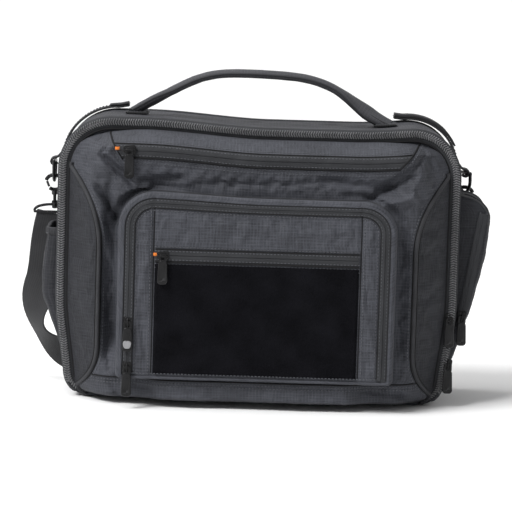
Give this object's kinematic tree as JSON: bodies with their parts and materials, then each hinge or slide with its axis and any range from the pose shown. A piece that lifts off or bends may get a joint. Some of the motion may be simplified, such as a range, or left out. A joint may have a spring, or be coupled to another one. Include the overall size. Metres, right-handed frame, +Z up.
{
  "type": "flight bag",
  "caption": "Soft ripstop flight bag: zipped clamshell body, box pocket with loop panel, side pockets, padded grab handle and shoulder strap.",
  "frame": {"origin": "centre of the rear compartment's base, on the floor", "axes": "+Z up, front faces -Y, X across the width"},
  "size_m": [0.482, 0.1983, 0.34],
  "materials": {
    "body_fabric": "ripstop nylon, dull sheen",
    "front_fabric": "ripstop nylon with slubs",
    "lining": "plain woven lining",
    "zip_tape": "woven zip tape",
    "piping": "bound cord edge",
    "webbing": "woven nylon webbing",
    "handle_cover": "padded ripstop sleeve",
    "loop_pile": "dense loop pile",
    "ring_metal": "gloss black plated",
    "adjuster_plastic": "moulded",
    "zip_metal": "gunmetal gloss"
  },
  "bodies": {
    "bag_body": {"top_gusset": "body_fabric", "left_gusset": "body_fabric", "right_gusset": "body_fabric", "base_gusset": "body_fabric", "back_panel": "body_fabric", "left_side_pocket": "body_fabric", "right_side_pocket": "body_fabric", "trolley_sleeve": "body_fabric", "lining_panel": "lining", "main_zip_rear_tape": "zip_tape", "right_pocket_tape": "zip_tape", "rear_piping": "piping", "left_pocket_binding": "piping", "left_anchor_strap": "webbing", "right_anchor_strap": "webbing", "left_handle_anchor": "webbing", "right_handle_anchor": "webbing", "shoulder_strap": "webbing", "left_swivel_loop": "ring_metal", "right_swivel_loop": "ring_metal"},
    "front_panel": {"front_backing": "lining", "front_shell": "front_fabric", "left_side_panel": "front_fabric", "right_side_panel": "front_fabric", "left_piping": "piping", "right_piping": "piping", "base_strip": "front_fabric", "main_zip_front_tape": "zip_tape", "top_pocket_tape": "zip_tape", "box_wall": "front_fabric"},
    "pocket_flap": {"flap_panel": "front_fabric", "u_zip_tape": "zip_tape", "face_zip_tape": "zip_tape", "loop_panel": "loop_pile"},
    "handle": {"handle_grip": "handle_cover", "handle_webbing": "webbing"},
    "left_ring": {"left_d_ring": "ring_metal"},
    "right_ring": {"right_d_ring": "ring_metal"},
    "left_snap_hook": {"left_hook": "ring_metal"},
    "right_snap_hook": {"right_hook": "ring_metal"},
    "left_hook_gate": {"left_gate": "ring_metal"},
    "right_hook_gate": {"right_gate": "ring_metal"},
    "adjuster": {"strap_adjuster": "adjuster_plastic"},
    "main_slider_upper_body": {"main_slider_upper": "zip_metal"},
    "main_pull_upper_body": {"main_pull_upper": "zip_metal"},
    "main_slider_lower_body": {"main_slider_lower": "zip_metal"},
    "main_pull_lower_body": {"main_pull_lower": "zip_metal"},
    "box_slider_upper_body": {"box_slider_upper": "zip_metal"},
    "box_pull_upper_body": {"box_pull_upper": "zip_metal"},
    "box_slider_lower_body": {"box_slider_lower": "zip_metal"},
    "box_pull_lower_body": {"box_pull_lower": "zip_metal"},
    "top_slider_body": {"top_slider": "zip_metal"},
    "top_pull_body": {"top_pull": "zip_metal"},
    "face_slider_body": {"face_slider": "zip_metal"},
    "face_pull_body": {"face_pull": "zip_metal"},
    "side_slider_body": {"side_slider": "zip_metal"},
    "side_pull_body": {"side_pull": "zip_metal"}
  },
  "joints": [
    {"name": "panel_open", "type": "hinge", "parent": "bag_body", "child": "front_panel", "pos_m": [0, -0.0577, 0.003], "axis": [1, 0, 0], "range_deg": [0, 22]},
    {"name": "flap_open", "type": "hinge", "parent": "front_panel", "child": "pocket_flap", "pos_m": [0, -0.1234, 0.034], "axis": [1, 0, 0], "range_deg": [0, 60]},
    {"name": "handle_swing", "type": "hinge", "parent": "bag_body", "child": "handle", "pos_m": [0, -0.006, 0.299], "axis": [1, 0, 0], "range_deg": [-50, 50]},
    {"name": "left_ring_swing", "type": "hinge", "parent": "bag_body", "child": "left_ring", "pos_m": [-0.218, 0.05, 0.234], "axis": [0, 1, 0], "range_deg": [-6, 6]},
    {"name": "left_hook_swivel", "type": "hinge", "parent": "bag_body", "child": "left_snap_hook", "pos_m": [-0.218, 0.0612, 0.187], "axis": [0, -0.4258, 0.9048], "range_deg": [-10, 10]},
    {"name": "left_gate_open", "type": "hinge", "parent": "left_snap_hook", "child": "left_hook_gate", "pos_m": [-0.22391, 0.05212, 0.20629], "axis": [0, 0.9048, 0.4258], "range_deg": [0, 25], "stiffness_Nm_per_rad": 0.02},
    {"name": "right_ring_swing", "type": "hinge", "parent": "bag_body", "child": "right_ring", "pos_m": [0.218, 0.05, 0.234], "axis": [-0.3746, 0.9272, 0], "range_deg": [0, 6]},
    {"name": "right_hook_swivel", "type": "hinge", "parent": "bag_body", "child": "right_snap_hook", "pos_m": [0.218, 0.0612, 0.187], "axis": [0, -0.4258, 0.9048], "range_deg": [-10, 10]},
    {"name": "right_gate_open", "type": "hinge", "parent": "right_snap_hook", "child": "right_hook_gate", "pos_m": [0.22391, 0.05212, 0.20629], "axis": [0, -0.9048, -0.4258], "range_deg": [0, 25], "stiffness_Nm_per_rad": 0.02},
    {"name": "adjuster_slide", "type": "slide", "parent": "bag_body", "child": "adjuster", "axis": [1, 0, 0], "range_m": [-0.06, 0.08]},
    {"name": "main_upper_zip_slide", "type": "slide", "parent": "front_panel", "child": "main_slider_upper_body", "axis": [0, 0, 1], "range_m": [0, 0.12]},
    {"name": "main_upper_pull_lift", "type": "hinge", "parent": "main_slider_upper_body", "child": "main_pull_upper_body", "pos_m": [0.2, -0.0644, 0.092], "axis": [-1, 0, 0], "range_deg": [0, 120]},
    {"name": "main_lower_zip_slide", "type": "slide", "parent": "front_panel", "child": "main_slider_lower_body", "axis": [0, 0, 1], "range_m": [-0.012, 0.006]},
    {"name": "main_lower_pull_lift", "type": "hinge", "parent": "main_slider_lower_body", "child": "main_pull_lower_body", "pos_m": [0.2, -0.0644, 0.044], "axis": [-1, 0, 0], "range_deg": [0, 120]},
    {"name": "box_upper_zip_slide", "type": "slide", "parent": "pocket_flap", "child": "box_slider_upper_body", "axis": [0, 0, 1], "range_m": [0, 0.09]},
    {"name": "box_upper_pull_lift", "type": "hinge", "parent": "box_slider_upper_body", "child": "box_pull_upper_body", "pos_m": [-0.1289, -0.1284, 0.088], "axis": [-1, 0, 0], "range_deg": [0, 120]},
    {"name": "box_lower_zip_slide", "type": "slide", "parent": "pocket_flap", "child": "box_slider_lower_body", "axis": [0, 0, 1], "range_m": [-0.002, 0.008]},
    {"name": "box_lower_pull_lift", "type": "hinge", "parent": "box_slider_lower_body", "child": "box_pull_lower_body", "pos_m": [-0.1289, -0.1284, 0.042], "axis": [-1, 0, 0], "range_deg": [0, 120]},
    {"name": "top_zip_slide", "type": "slide", "parent": "front_panel", "child": "top_slider_body", "axis": [1, 0, 0], "range_m": [0, 0.264]},
    {"name": "top_pull_lift", "type": "hinge", "parent": "top_slider_body", "child": "top_pull_body", "pos_m": [-0.132, -0.1078, 0.2615], "axis": [-1, 0, 0], "range_deg": [0, 120]},
    {"name": "face_zip_slide", "type": "slide", "parent": "pocket_flap", "child": "face_slider_body", "axis": [1, 0, 0], "range_m": [0, 0.19]},
    {"name": "face_pull_lift", "type": "hinge", "parent": "face_slider_body", "child": "face_pull_body", "pos_m": [-0.095, -0.1298, 0.1575], "axis": [-1, 0, 0], "range_deg": [0, 120]},
    {"name": "side_zip_slide", "type": "slide", "parent": "bag_body", "child": "side_slider_body", "axis": [0.1736, 0, 0.9848], "range_m": [0, 0.1]},
    {"name": "side_pull_lift", "type": "hinge", "parent": "side_slider_body", "child": "side_pull_body", "pos_m": [0.2135, -0.0484, 0.092], "axis": [-1, 0, 0], "range_deg": [0, 120]}
  ]
}
